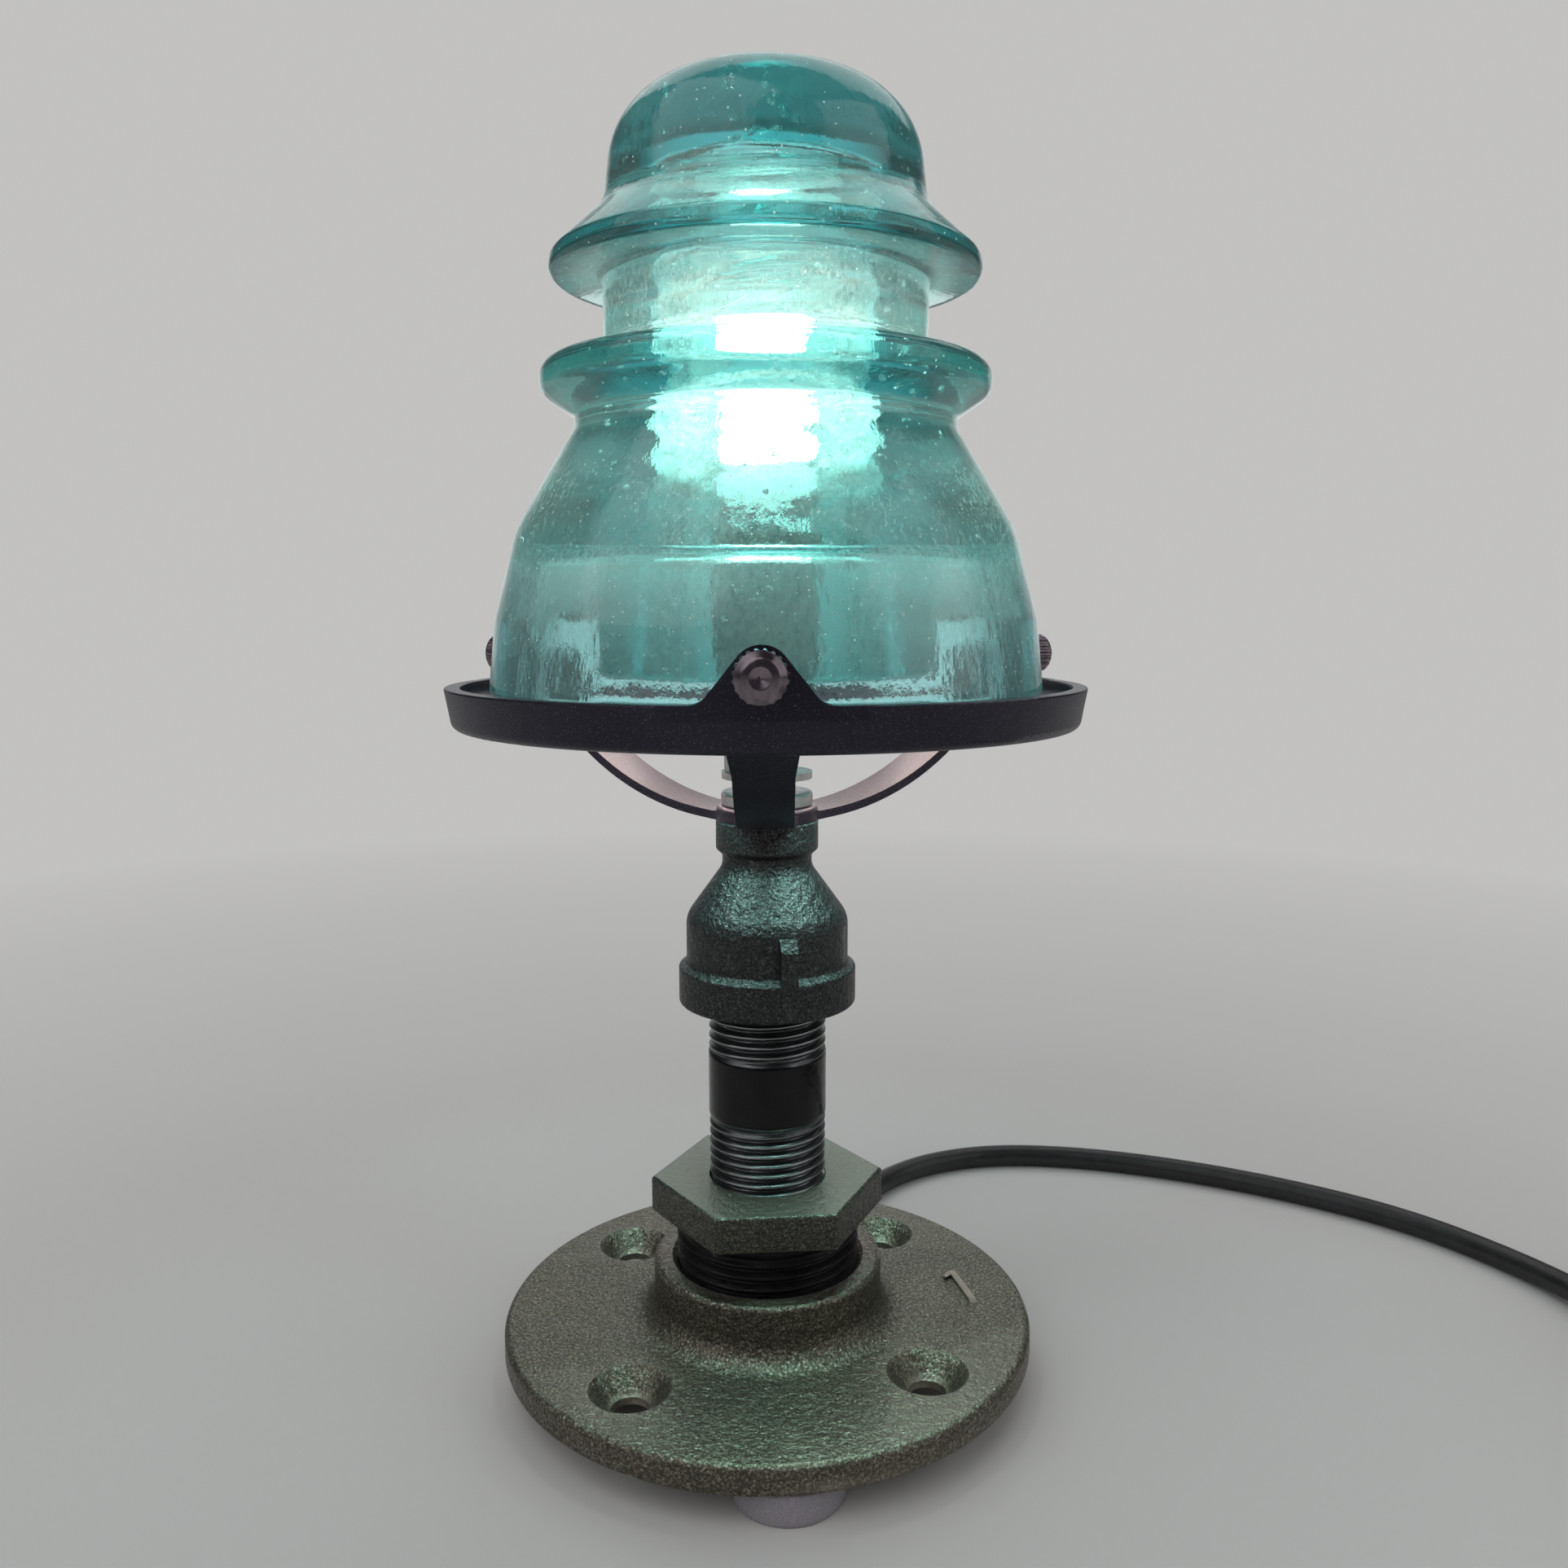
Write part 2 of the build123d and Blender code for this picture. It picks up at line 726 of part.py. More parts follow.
def coil_tie():
    """Flat strap round all the turns at one side of the coil."""
    inner_r = coil_inner_r - coil_pitch / 2 - cord_r - snug
    outer_r = coil_outer_r + cord_r + snug
    height = coil_pitch + cord_d + 2 * snug
    middle = Pos((inner_r + outer_r) / 2, tie_t + height / 2)
    across = outer_r - inner_r
    inside = middle * RectangleRounded(across, height, cord_r)
    outside = middle * RectangleRounded(across + 2 * tie_t, height + 2 * tie_t, cord_r + tie_t)
    strap = extrude(Plane.XZ * (outside - inside), tie_w / 2, both=True)
    return Pos(coil_x, coil_y, 0) * Rot(0, 0, tie_turn) * strap


run_points = [
    (0.0, 0.0, exit_z),
    (0.0, 0.0, exit_z - riser_below),
    (2.1, 5.6, cord_r),
    (6.5, 17.8, cord_r),
    (11.5, 34.0, cord_r),
    (16.5, 51.0, cord_r),
    (24.0, 67.5, cord_r),
    (37.0, 79.5, cord_r),
    (55.0, 85.5, cord_r),
    (76.0, 84.0, cord_r),
    (99.0, 77.0, cord_r),
    (122.0, 65.5, cord_r),
    (143.0, 50.0, cord_r),
    (157.1, 30.6, cord_r),
]


def cord_run():
    place, heading = coil_place(0)
    start = place - heading * cord_d
    before = start - heading * 21.5
    return cord_length("cord_run", run_points + [tuple(before), tuple(start)])


def cord_tail():
    place, heading = coil_place(sum(coil_half_turns) + 1)
    start = place + heading * cord_d
    drop = (start.Z - switch_axis) / 4
    places = [
        tuple(start),
        tuple(start + heading * bend_run),
        (tail_x, tail_y, start.Z - drop / 2),
        (tail_x + bend_in, tail_y - bend_out, start.Z - 2.5 * drop),
        (switch_x - bend_run, switch_y, switch_axis),
        (switch_x, switch_y, switch_axis),
    ]
    return cord_length("cord_tail", places)


def cord_end():
    places = [
        (switch_end, switch_y, switch_axis),
        (switch_end + bend_run, switch_y, switch_axis),
        (switch_end + bend_run + bend_out, switch_y + bend_in, switch_axis - 0.8),
        (plug_x, plug_y - bend_run, plug_axis),
        (plug_x, plug_y, plug_axis),
    ]
    return cord_length("cord_end", places)


# Switch and plug on the cord

def switch_place():
    return Pos(switch_x + switch_l / 2, switch_y, 0)


def switch_screw_holes(diameter, low, high):
    return [Pos(side * (switch_l / 2 - 8), 0, 0) * rod(diameter, low, high) for side in (-1, 1)]


def switch_base():
    body = extrude(RectangleRounded(switch_l, switch_w, 7), switch_axis)
    body = chamfer(body.faces().sort_by(Axis.Z)[0].edges(), 1.0)
    body -= switch_screw_holes(2.4 + 2 * fit, 1.5, switch_axis + 1)
    return switch_place() * body


def switch_cover():
    tall = switch_h - switch_axis
    body = Pos(0, 0, switch_axis) * extrude(RectangleRounded(switch_l, switch_w, 7), tall)
    body = fillet(body.faces().sort_by(Axis.Z)[-1].edges(), 2.6)
    window = Pos(0, 0, switch_axis + tall / 2) * Box(rocker_l + 2, rocker_w + 4 * fit, tall + 2)
    pivot = Pos(0, 0, rocker_up) * Rot(90, 0, 0) * Cylinder(rocker_pin_d / 2 + fit, rocker_w + 4.6)
    body -= window + pivot
    body -= switch_screw_holes(2.4 + 2 * fit, switch_axis - 1, switch_h)
    body -= switch_screw_holes(4.6 + 2 * fit, switch_h - 2.4, switch_h + 1)
    return switch_place() * body


def switch_rocker():
    half = rocker_l / 2
    side = [
        (-half, 0.4), (-half, 3.6), (0, 2.4), (half, 3.6), (half, 0.4), (3.6, -2.8), (-3.6, -2.8),
    ]
    outline = FilletPolyline(side, radius=[0, 0.6, 9, 0.6, 0, 0, 0], close=True)
    body = extrude(Plane.XZ * make_face(outline), rocker_w / 2, both=True)
    body += Rot(90, 0, 0) * Cylinder(rocker_pin_d / 2, rocker_w + 4)
    return switch_place() * Pos(0, 0, rocker_up) * Rot(0, rocker_tilt, 0) * body


def switch_screws():
    heads = switch_screw_holes(4.6, switch_h - 2.4, switch_h - 1.0)
    shanks = switch_screw_holes(2.4, 2.0, switch_h - 2.4)
    return switch_place() * Compound([head + shank for head, shank in zip(heads, shanks)])


def plug_blade_pair(gap=0.0):
    size = (blade_t + 2 * gap, blade_l + blade_in, blade_w + 2 * gap)
    middle = plug_l + relief_l + (blade_l - blade_in) / 2
    return [Pos(side * blade_pitch / 2, middle, 0) * Box(*size) for side in (-1, 1)]


def plug_body():
    """Moulded body lofted from its narrow back to its face, with a tapered relief."""
    back = Plane.XZ.offset(-relief_l + 2)
    sections = [
        back * RectangleRounded(11, 10, 4.5),
        Plane.XZ.offset(-relief_l - plug_l * 0.4) * RectangleRounded(plug_w * 0.82, plug_h, 5),
        Plane.XZ.offset(-relief_l - plug_l) * RectangleRounded(plug_w, plug_h, 4),
    ]
    body = loft(sections)
    cone = Rot(-90, 0, 0) * Pos(0, 0, relief_l / 2) * Cone(relief_d / 2, 4.9, relief_l)
    body = body + cone
    for blade in plug_blade_pair():
        body -= blade
    return Pos(plug_x, plug_y, plug_axis) * body


def plug_blades():
    hole = Rot(0, 90, 0) * Cylinder(1.6, blade_pitch * 3)
    place = Pos(0, plug_l + relief_l + blade_l - 4, 0) * hole
    blades = [blade - place for blade in plug_blade_pair()]
    return Pos(plug_x, plug_y, plug_axis) * Compound(blades)


nodes = {
    "felt_feet": felt_feet,
    "floor_flange": floor_flange,
    "hex_bushing": hex_bushing,
    "pipe_nipple": pipe_nipple,
    "bell_reducer": bell_reducer,
    "lamp_tube": lamp_tube,
    "lock_nut": lock_nut,
    "shade_fitter": shade_fitter,
    "glass_insulator": glass_insulator,
    "socket_bracket": socket_bracket,
    "bracket_screw": bracket_screw,
    "socket_body": socket_body,
    "terminal_screws": terminal_screws,
    "screw_shell": screw_shell,
    "centre_contact": centre_contact,
    "bulb_cap": bulb_cap,
    "bulb_tip": bulb_tip,
    "bulb_collar": bulb_collar,
    "bulb_cover": bulb_cover,
    "cord_grommet": cord_grommet,
    "cord_riser": cord_riser,
    "socket_leads": socket_leads,
    "cord_run": cord_run,
    "cord_coil": cord_coil,
    "coil_tie": coil_tie,
    "cord_tail": cord_tail,
    "switch_base": switch_base,
    "switch_cover": switch_cover,
    "switch_rocker": switch_rocker,
    "switch_screws": switch_screws,
    "cord_end": cord_end,
    "plug_body": plug_body,
    "plug_blades": plug_blades,
}

os.makedirs("parts", exist_ok=True)
for name, make in nodes.items():
    export_step(make(), f"parts/{name}.step")
for side, turn in ear_turns.items():
    export_step(thumb_screw(turn), f"parts/thumb_screw_{side}.step")
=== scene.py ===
import math
import random

import bmesh
import bpy
from mathutils import Matrix, Vector


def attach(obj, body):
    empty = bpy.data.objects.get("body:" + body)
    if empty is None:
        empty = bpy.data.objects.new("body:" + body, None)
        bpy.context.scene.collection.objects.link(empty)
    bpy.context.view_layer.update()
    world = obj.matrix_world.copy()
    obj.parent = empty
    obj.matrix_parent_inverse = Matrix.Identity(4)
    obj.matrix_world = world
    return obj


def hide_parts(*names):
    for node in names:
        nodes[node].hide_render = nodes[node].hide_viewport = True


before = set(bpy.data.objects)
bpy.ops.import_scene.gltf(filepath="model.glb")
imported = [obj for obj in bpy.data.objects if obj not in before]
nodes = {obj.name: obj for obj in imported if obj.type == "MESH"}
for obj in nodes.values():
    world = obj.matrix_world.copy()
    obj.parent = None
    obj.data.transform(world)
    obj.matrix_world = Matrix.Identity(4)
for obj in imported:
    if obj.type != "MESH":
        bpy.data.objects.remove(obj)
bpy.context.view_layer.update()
scene = bpy.context.scene
scene.view_settings.view_transform = "Standard"
scene.cycles.max_bounces = 28
scene.cycles.transmission_bounces = 28
MM = 0.001
random.seed(7)


def link(obj):
    scene.collection.objects.link(obj)
    return obj


def mesh_object(name, vertices, faces):
    """A smooth mesh piece from points in millimetres."""
    mesh = bpy.data.meshes.new(name)
    mesh.from_pydata([tuple(c * MM for c in v) for v in vertices], [], faces)
    mesh.validate()
    mesh.update()
    mesh.shade_smooth()
    return link(bpy.data.objects.new(name, mesh))


# Camera

camera = link(bpy.data.objects.new("camera", bpy.data.cameras.new("camera")))
camera.location = (0.00302, -0.231, 0.1392)
camera.rotation_euler = (math.radians(82.332), 0, 0)
camera.data.sensor_width = 36
camera.data.lens = 30.25
camera.data.clip_start = 0.01
scene.camera = camera


# Materials. Lengths and scales in them are in metres and cycles per metre.

class Nodes:
    """Adds nodes to a node tree and joins them."""

    def __init__(self, tree):
        self.tree = tree

    def node(self, kind, **inputs):
        made = self.tree.nodes.new("ShaderNode" + kind)
        for key, value in inputs.items():
            made.inputs[key.replace("_", " ")].default_value = value
        return made

    def join(self, out, into):
        self.tree.links.new(out, into)

    def feed(self, value, socket):
        """Put a number, a colour or another node's output on a socket."""
        if isinstance(value, tuple):
            socket.default_value = (*value, 1)
        elif isinstance(value, (int, float)):
            socket.default_value = value
        else:
            self.join(value, socket)

    def span(self, value, low, high, to_low, to_high):
        made = self.node("MapRange", From_Min=low, From_Max=high, To_Min=to_low, To_Max=to_high)
        self.join(value, made.inputs["Value"])
        return made.outputs["Result"]

    def maths(self, operation, first, second):
        made = self.node("Math")
        made.operation = operation
        self.feed(first, made.inputs[0])
        self.feed(second, made.inputs[1])
        return made.outputs["Value"]

    def product(self, *factors):
        result = factors[0]
        for factor in factors[1:]:
            result = self.maths("MULTIPLY", result, factor)
        return result

    def mix_shaders(self, share, first, second):
        """The first shader, and the second in its place by a share."""
        made = self.node("MixShader")
        for value, socket in zip((share, first, second), made.inputs):
            self.feed(value, socket)
        return made.outputs[0]


class Look(Nodes):
    """A material with one Principled shader; each call adds nodes that feed it."""

    def __init__(self, name, metallic=0.0, roughness=0.5, colour=(0.5, 0.5, 0.5), **sockets):
        self.mat = bpy.data.materials.new(name)
        self.mat.use_nodes = True
        super().__init__(self.mat.node_tree)
        self.shader = self.tree.nodes["Principled BSDF"]
        self.shader.inputs["Metallic"].default_value = metallic
        self.shader.inputs["Roughness"].default_value = roughness
        self.shader.inputs["Base Color"].default_value = (*colour, 1)
        for key, value in sockets.items():
            self.shader.inputs[key.replace("_", " ")].default_value = value
        self.place = self.node("TexCoord").outputs["Object"]
        self.last_bump = None

    def stretched(self, scale):
        """The place on the piece, scaled along each axis."""
        made = self.node("Mapping", Scale=scale)
        self.join(self.place, made.inputs["Vector"])
        return made.outputs["Vector"]

    def axis(self, name):
        """One coordinate of the place on the piece."""
        made = self.node("SeparateXYZ")
        self.join(self.place, made.inputs[0])
        return made.outputs[name]

    def vector_maths(self, operation, vector, other=(0, 0, 0)):
        made = self.node("VectorMath")
        made.operation = operation
        self.join(vector, made.inputs[0])
        made.inputs[1].default_value = other
        return made.outputs["Value"]

    def noise(self, scale, detail=3.0, rough=0.55, stretch=None):
        made = self.node("TexNoise", Scale=scale, Detail=detail, Roughness=rough)
        self.join(self.stretched(stretch) if stretch else self.place, made.inputs["Vector"])
        return made.outputs["Fac"]

    def cells(self, scale, out="Distance"):
        made = self.node("TexVoronoi", Scale=scale)
        self.join(self.place, made.inputs["Vector"])
        return made.outputs[out]

    def ramp(self, value, *stops):
        """Colour ramp from (position, colour) stops."""
        made = self.node("ValToRGB")
        elements = made.color_ramp.elements
        for element, (position, colour) in zip(elements, (stops[0], stops[-1])):
            element.position, element.color = position, (*colour, 1)
        for position, colour in stops[1:-1]:
            elements.new(position).color = (*colour, 1)
        self.join(value, made.inputs["Fac"])
        return made.outputs["Color"]

    def drift(self, value, low, high):
        """Colour that goes from one tone to another over the middle of a noise."""
        return self.ramp(value, (0.3, low), (0.7, high))

    def blend(self, mode, fac, first, second):
        made = self.node("Mix")
        made.data_type = "RGBA"
        made.blend_type = mode
        for value, index in ((fac, 0), (first, 6), (second, 7)):
            self.feed(value, made.inputs[index])
        return made.outputs[2]

    def colour(self, out):
        self.join(out, self.shader.inputs["Base Color"])

    def rough(self, value, low, high):
        """Roughness that goes from one value to another over the middle of a noise."""
        self.join(self.span(value, 0.3, 0.7, low, high), self.shader.inputs["Roughness"])

    def bump(self, height, distance, strength=1.0):
        made = self.node("Bump", Strength=strength, Distance=distance)
        self.join(height, made.inputs["Height"])
        if self.last_bump is not None:
            self.join(self.last_bump.outputs["Normal"], made.inputs["Normal"])
        self.last_bump = made
        self.join(made.outputs["Normal"], self.shader.inputs["Normal"])

    def edge_wear_and_highlight(self, under, bright, low=0.52, high=0.6):
        """Lighter metal along outside edges: partly wear, partly a painted highlight where the edges catch
        the light.
        """
        pointed = self.node("NewGeometry").outputs["Pointiness"]
        return self.blend("MIX", self.span(pointed, low, high, 0.0, 1.0), under, bright)


def iron(name, dark, mid, light, grain, depth):
    """Cast iron with the sand grain of its mould."""
    look = Look(name, metallic=0.85, roughness=0.45)
    fine = look.noise(grain, 3.0, 0.6)
    tone = look.ramp(fine, (0.36, dark), (0.52, mid), (0.70, light))
    patchy = look.drift(look.noise(60.0, 3.0), (0.80, 0.80, 0.82), (1.0, 1.0, 0.98))
    # The light tone on the outside edges is partly wear and partly a painted highlight.
    look.colour(look.edge_wear_and_highlight(look.blend("MULTIPLY", 1.0, tone, patchy), light))
    look.rough(fine, 0.50, 0.30)
    look.bump(look.noise(grain / 3.4, 2.0), depth * 2.4, 0.8)
    look.bump(fine, depth, 0.7)
    return look.mat


flange_iron = iron(
    "flange_iron", dark=(0.070, 0.063, 0.048), mid=(0.130, 0.118, 0.092), light=(0.40, 0.37, 0.31),
    grain=2300.0, depth=0.00024,
)
fitting_iron = iron(
    "fitting_iron", dark=(0.022, 0.022, 0.023), mid=(0.044, 0.044, 0.046), light=(0.12, 0.12, 0.12),
    grain=2600.0, depth=0.00026,
)
bushing_iron = iron(
    "bushing_iron", dark=(0.045, 0.045, 0.037), mid=(0.085, 0.087, 0.072), light=(0.24, 0.245, 0.21),
    grain=2600.0, depth=0.00022,
)


def ring_look():
    """Purple-black enamel with fine bright specks."""
    look = Look("ring_enamel", metallic=0.8, roughness=0.42, Coat_Weight=0.25, Coat_Roughness=0.22)
    specks = look.noise(4200.0, 2.0, 0.7)
    base = look.drift(look.noise(60.0, 2.0), (0.016, 0.014, 0.025), (0.027, 0.023, 0.042))
    bright = look.ramp(specks, (0.60, (0.0, 0.0, 0.0)), (0.76, (0.16, 0.14, 0.20)))
    look.colour(look.blend("ADD", 1.0, base, bright))
    look.join(look.span(specks, 0.35, 0.75, 0.5, 0.34), look.shader.inputs["Roughness"])
    look.bump(specks, 0.00006)
    return look.mat


def nickel_look(name, low, high):
    look = Look(name, metallic=1.0, roughness=0.25)
    brushed = look.noise(900.0, 3.0, stretch=(1, 1, 0.15))
    look.colour(look.drift(brushed, low, high))
    look.rough(look.noise(300.0), 0.18, 0.36)
    look.bump(brushed, 0.00002)
    return look.mat


def zinc_look():
    look = Look("zinc_plate", metallic=1.0, roughness=0.35)
    tone = look.drift(look.noise(500.0), (0.55, 0.57, 0.57), (0.78, 0.79, 0.77))
    look.colour(look.blend("MULTIPLY", 0.12, tone, look.cells(450.0, "Color")))
    look.rough(look.noise(220.0), 0.26, 0.46)
    look.bump(look.noise(1400.0), 0.00002)
    return look.mat


def brass_look():
    look = Look("brass", metallic=1.0, roughness=0.3)
    look.colour(look.drift(look.noise(260.0), (0.56, 0.40, 0.16), (0.78, 0.60, 0.28)))
    look.rough(look.noise(700.0), 0.2, 0.42)
    look.bump(look.noise(1600.0), 0.00001)
    return look.mat


def thread_look():
    """Dark cut thread with a painted highlight along its crests."""
    look = Look("cut_thread", metallic=1.0, roughness=0.3)
    streaks = look.noise(260.0, 4.0, stretch=(1, 1, 7))
    tones = (0.3, (0.045, 0.048, 0.052)), (0.6, (0.11, 0.12, 0.125)), (0.78, (0.24, 0.25, 0.25))
    tone = look.ramp(streaks, *tones)
    # The pale crests are a painted highlight.
    look.colour(look.edge_wear_and_highlight(tone, (0.72, 0.73, 0.73), 0.53, 0.62))
    look.rough(streaks, 0.42, 0.22)
    look.bump(streaks, 0.00005)
    return look.mat


def lacquer_look(name, roughness):
    look = Look(name, roughness=roughness, Specular_IOR_Level=0.2)
    look.colour(look.drift(look.noise(120.0), (0.003, 0.003, 0.004), (0.008, 0.008, 0.009)))
    look.rough(look.noise(600.0), roughness * 0.7, roughness * 2.2)
    look.bump(look.noise(500.0, 2.0), 0.00005)
    return look.mat


def plastic_look(name, low, high, roughness=0.38, **sockets):
    look = Look(name, roughness=roughness, **sockets)
    grain = look.noise(2600.0, 2.0)
    look.colour(look.drift(look.noise(140.0), low, high))
    look.rough(grain, roughness * 0.85, roughness * 1.25)
    look.bump(grain, 0.00003)
    return look.mat


def felt_look():
    look = Look("felt", roughness=0.95, Sheen_Weight=0.6, Sheen_Roughness=0.5)
    fibre = look.noise(3000.0, 5.0, 0.75)
    tones = (0.3, (0.20, 0.17, 0.22)), (0.55, (0.40, 0.36, 0.42)), (0.75, (0.62, 0.58, 0.62))
    tone = look.ramp(fibre, *tones)
    cloudy = look.drift(look.noise(220.0), (0.7, 0.68, 0.72), (1, 1, 1))
    look.colour(look.blend("MULTIPLY", 0.5, tone, cloudy))
    look.bump(fibre, 0.0006)
    return look.mat


def cord_look():
    look = Look("cord_jacket", roughness=0.36)
    look.colour(look.drift(look.noise(180.0), (0.010, 0.010, 0.011), (0.022, 0.022, 0.024)))
    look.rough(look.noise(900.0, 4.0), 0.28, 0.5)
    look.bump(look.noise(1500.0), 0.00004)
    return look.mat


def bulb_look():
    """Lit cover of the bulb."""
    look = Look("bulb_cover", roughness=0.4, Emission_Strength=64.0)
    look.colour(look.drift(look.noise(90.0), (0.92, 0.90, 0.84), (1.0, 0.98, 0.93)))
    warm = look.drift(look.noise(60.0), (1.0, 0.76, 0.62), (1.0, 0.82, 0.70))
    look.join(warm, look.shader.inputs["Emission Color"])
    look.bump(look.noise(800.0), 0.00002)
    return look.mat


def dust_film(look):
    """Share of dust on the glass: most at the waist, little on lips, crown and the skirt's foot."""
    height = look.axis("Z")
    radius = look.vector_maths("LENGTH", look.stretched((1, 1, 0)))
    thin_far_out = look.span(radius, 0.030, 0.0335, 1.0, 0.15)
    below_lips = look.span(height, 0.160, 0.168, 1.0, 0.0)
    off_lips = look.maths("MAXIMUM", thin_far_out, below_lips)
    up_the_skirt = look.span(height, 0.128, 0.154, 0.45, 1.15)
    up_the_crown = look.span(height, 0.188, 0.206, 1.0, 0.25)
    cloudy = look.span(look.noise(38.0), 0.35, 0.65, 0.55, 1.0)
    fine = look.span(look.noise(1500.0, 5.0, 0.75, stretch=(1, 1, 0.45)), 0.38, 0.68, 0.08, 0.42)
    patches = look.product(up_the_skirt, up_the_crown, off_lips, cloudy, fine)
    specks = look.span(look.cells(560.0), 0.05, 0.13, 0.85, 0.0)
    return look.maths("MAXIMUM", patches, specks)


def pale_line(look):
    """The thin pale line that slants up over the front of the upper groove."""
    rise, start = 0.477, 0.1864
    height = look.vector_maths("DOT_PRODUCT", look.place, (-rise, 0, 1))
    wavy = look.maths("ADD", height, look.span(look.noise(120.0), 0.3, 0.7, -0.0006, 0.0006))
    away = look.maths("ABSOLUTE", look.maths("SUBTRACT", wavy, start), 0.0)
    line = look.span(away, 0.00010, 0.00028, 0.8, 0.0)
    left_end = look.span(look.axis("X"), -0.0145, -0.012, 0.0, 1.0)
    right_end = look.span(look.axis("X"), -0.003, -0.001, 1.0, 0.0)
    front_only = look.span(look.axis("Y"), -0.02, -0.015, 1.0, 0.0)
    return look.product(line, left_end, right_end, front_only)


def glass_look():
    """Thick aqua glass: the colour comes from the depth that the light passes through."""
    look = Look("aqua_glass", roughness=0.015, colour=(0.97, 1.0, 0.995), Transmission_Weight=1.0, IOR=1.5)
    look.colour(look.drift(look.noise(45.0), (0.93, 0.985, 0.975), (0.98, 1.0, 1.0)))
    grime = look.noise(420.0, 5.0, 0.7, stretch=(1, 1, 0.4))
    look.join(look.span(grime, 0.52, 0.8, 0.01, 0.12), look.shader.inputs["Roughness"])
    look.bump(look.noise(55.0, 2.0), 0.0009, 0.5)
    look.bump(look.noise(260.0, 3.0, stretch=(1, 1, 0.25)), 0.00016, 0.6)
    look.bump(look.noise(950.0, 3.0, 0.6, stretch=(1, 1, 0.6)), 0.00006, 0.7)
    film = look.maths("MAXIMUM", dust_film(look), pale_line(look))
    lit_through = look.node("BsdfTranslucent", Color=(1.0, 0.90, 0.88, 1))
    grey = look.node("BsdfDiffuse", Color=(0.86, 0.81, 0.79, 1))
    powder = look.mix_shaders(0.6, lit_through.outputs[0], grey.outputs[0])
    dusty = look.mix_shaders(film, look.shader.outputs[0], powder)
    # Shadow rays pass, a little tinted, so that the lit bulb reaches the floor and the fittings.
    clear = look.node("BsdfTransparent", Color=(1.0, 0.86, 0.87, 1))
    shadow = look.node("LightPath").outputs["Is Shadow Ray"]
    output = look.tree.nodes["Material Output"]
    look.join(look.mix_shaders(shadow, dusty, clear.outputs[0]), output.inputs["Surface"])
    depth = look.node("VolumeAbsorption", Color=(0.02, 0.72, 0.74, 1), Density=66.0)
    look.join(depth.outputs[0], output.inputs["Volume"])
    return look.mat


ring_enamel = ring_look()
# The thumb screws are nickel like the bulb cap; their darker, purple-brown tone is a painted reflection.
nickel_with_painted_reflection = nickel_look("nickel_with_painted_reflection", (0.13, 0.105, 0.125), (0.25, 0.205, 0.235))
nickel = nickel_look("nickel", (0.38, 0.35, 0.36), (0.62, 0.58, 0.59))
zinc = zinc_look()
brass = brass_look()
cut_thread = thread_look()
pipe_lacquer = lacquer_look("pipe_lacquer", 0.12)
phenolic = lacquer_look("phenolic", 0.3)
black_plastic = plastic_look("black_plastic", (0.014, 0.014, 0.015), (0.026, 0.026, 0.028))
# The bulb's collar is plain plastic; its warm emission is a painted glow, not a lamp.
collar_with_painted_glow = plastic_look(
    "bulb_plastic_painted_glow", (0.70, 0.69, 0.65), (0.82, 0.81, 0.77), 0.45,
    Emission_Color=(1.0, 0.74, 0.64, 1), Emission_Strength=2.2,
)
lead_plastic = plastic_look("lead_jacket", (0.04, 0.04, 0.04), (0.09, 0.09, 0.09))
felt = felt_look()
cord_jacket = cord_look()
bulb_glow = bulb_look()
aqua_glass = glass_look()


# Loose cord: the same route as the solids, in millimetres

CORD_R = 2.5
COIL = (203.9, -17.0)       # centre of the coil
COIL_IN, PITCH = 20.0, 5.7  # its inner radius, and the distance from turn to turn
INWARD, OUTWARD = 7, 6      # half turns in its lower and in its upper layer
STEPS = 6                   # control points to a half turn
BEND = 18.0                 # reach of the bends at the switch and the plug
LOWER, UPPER = 3.8, 9.5     # heights of the coil's two layers
SWITCH_Z, SWITCH_LONG = 6, 56.0
PLUG_Z = 6.8


def coil_place(t):
    """Centre of the coiled cord after t half turns."""
    if t <= INWARD:
        radius, height = COIL_IN + (INWARD - t) * PITCH / 2, LOWER
    elif t >= INWARD + 1:
        radius, height = COIL_IN + (t - INWARD - 1) * PITCH / 2, UPPER
    else:
        u = t - INWARD
        radius = COIL_IN + PITCH / 2 * (u * u - u)
        height = LOWER + PITCH * u * u * (3 - 2 * u)
    angle = math.pi * (1 + t)
    return radius, angle, height


def coil_control(t):
    """Control point for the coil: out by the share that the spline cuts inside."""
    radius, angle, height = coil_place(t)
    radius /= math.cos(math.pi / (2 * STEPS))
    return (COIL[0] + radius * math.cos(angle), COIL[1] + radius * math.sin(angle), height)


sin30, cos30 = 0.5, math.cos(math.radians(30))
run_end_x = COIL[0] - COIL_IN - INWARD * PITCH / 2
tail_x = COIL[0] - COIL_IN - OUTWARD * PITCH / 2
tail_y = COIL[1] - 5.0 - 2 * BEND
switch_x = tail_x + BEND * (sin30 + cos30 + 1)
switch_y = tail_y - BEND * (sin30 + cos30)
switch_end = switch_x + SWITCH_LONG
plug_x = switch_end + BEND * (sin30 + cos30 + 1)
plug_y = switch_y + BEND * (sin30 + cos30 + 1)

